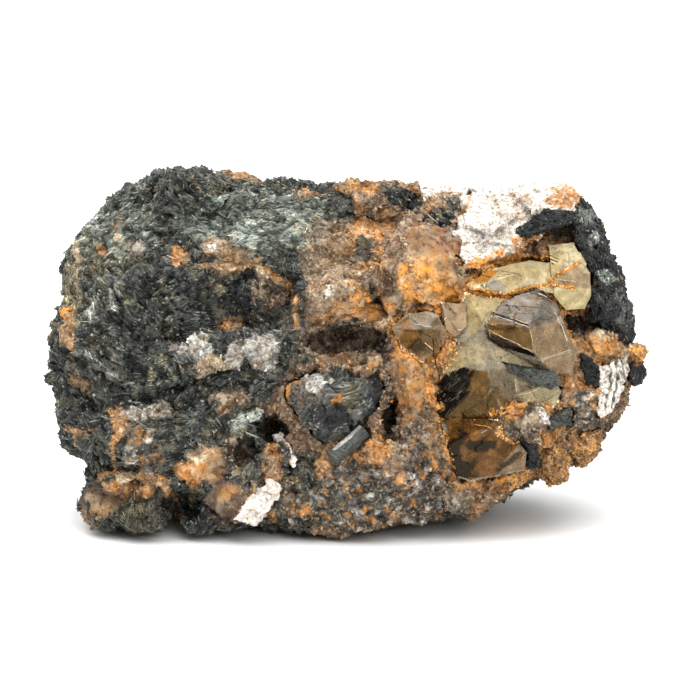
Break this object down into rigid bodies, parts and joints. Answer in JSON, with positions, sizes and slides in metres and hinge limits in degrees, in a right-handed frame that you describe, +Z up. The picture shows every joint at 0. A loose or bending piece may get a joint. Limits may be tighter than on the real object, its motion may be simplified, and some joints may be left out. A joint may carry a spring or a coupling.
{
  "type": "rough titanite specimen",
  "caption": "Hand-sized rough mineral specimen: see-through honey and smoky titanite crystals grown in a lump of felted black-green amphibole, rusty crust and white feldspar.",
  "frame": {"origin": "on the resting plane, under the middle of the specimen's box", "axes": "+X along the specimen's length to the right as its crystal face is looked at, +Y away from the viewer, +Z up"},
  "size_m": [0.1, 0.0578, 0.0592],
  "materials": {
    "rock": "felted dark green amphibole needles with rusty ochre crust and white grains, rough",
    "titanite": "see-through honey to smoky brown crystal with cleavage steps, bright glassy lustre",
    "feldspar": "granular white, sugary breaks with pinkish and rusty tints",
    "banded_feldspar": "white with thin dark amphibole bands",
    "black_amphibole": "black-green fibrous blades with silky glints",
    "green_amphibole": "gray-green, striated and speckled with rust",
    "banded_amphibole": "dark lobes striped with ochre"
  },
  "bodies": {
    "root": {"matrix": "rock", "titanite_main": "titanite", "titanite_upper": "titanite", "titanite_small": "titanite", "titanite_left": "titanite", "amphibole_rod": "black_amphibole", "amphibole_bar": "black_amphibole", "amphibole_rim": "black_amphibole", "amphibole_block": "black_amphibole", "amphibole_column": "black_amphibole", "amphibole_blade": "black_amphibole", "amphibole_knob": "black_amphibole", "amphibole_nodule": "green_amphibole", "striated_prism": "green_amphibole", "amphibole_lobe_a": "banded_amphibole", "amphibole_lobe_b": "banded_amphibole", "banded_slab": "banded_feldspar", "feldspar_mass": "feldspar", "feldspar_chip": "feldspar", "feldspar_sliver": "feldspar"}
  },
  "joints": []
}
